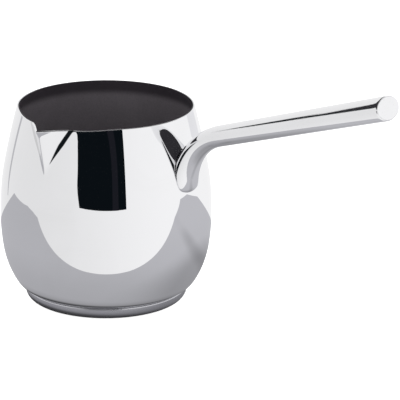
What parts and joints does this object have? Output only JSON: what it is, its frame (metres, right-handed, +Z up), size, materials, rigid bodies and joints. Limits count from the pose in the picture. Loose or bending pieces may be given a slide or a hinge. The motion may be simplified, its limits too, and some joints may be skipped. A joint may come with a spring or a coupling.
{
  "type": "coffee pot",
  "caption": "Round-bellied mirror-polished steel pot with a dark non-stick inside, a pinched pouring lip and a long rising hollow handle a quarter turn from the lip.",
  "frame": {"origin": "on the pot's axis, on the ground plane that the base stands on", "axes": "+Z up; +X towards the handle; -Y towards the pouring lip"},
  "size_m": [0.29, 0.1446, 0.1742],
  "materials": {
    "polished_steel": "mirror-polished stainless steel",
    "handle_steel": "polished stainless steel",
    "cap_steel": "polished stainless steel, a little duller than the wall",
    "dark_coat": "satin dark brown-grey non-stick coat",
    "disc_aluminium": "mill finish, closed in by the cap",
    "plain_steel": "unpolished, hidden inside the handle"
  },
  "bodies": {
    "root": {"pot_body": "polished_steel", "nonstick_lining": "dark_coat", "heat_spreader_disc": "disc_aluminium", "base_cap": "cap_steel", "handle_tube": "handle_steel", "handle_end_plate": "handle_steel", "handle_foot_plate": "plain_steel", "spot_welds": "plain_steel"}
  },
  "joints": []
}
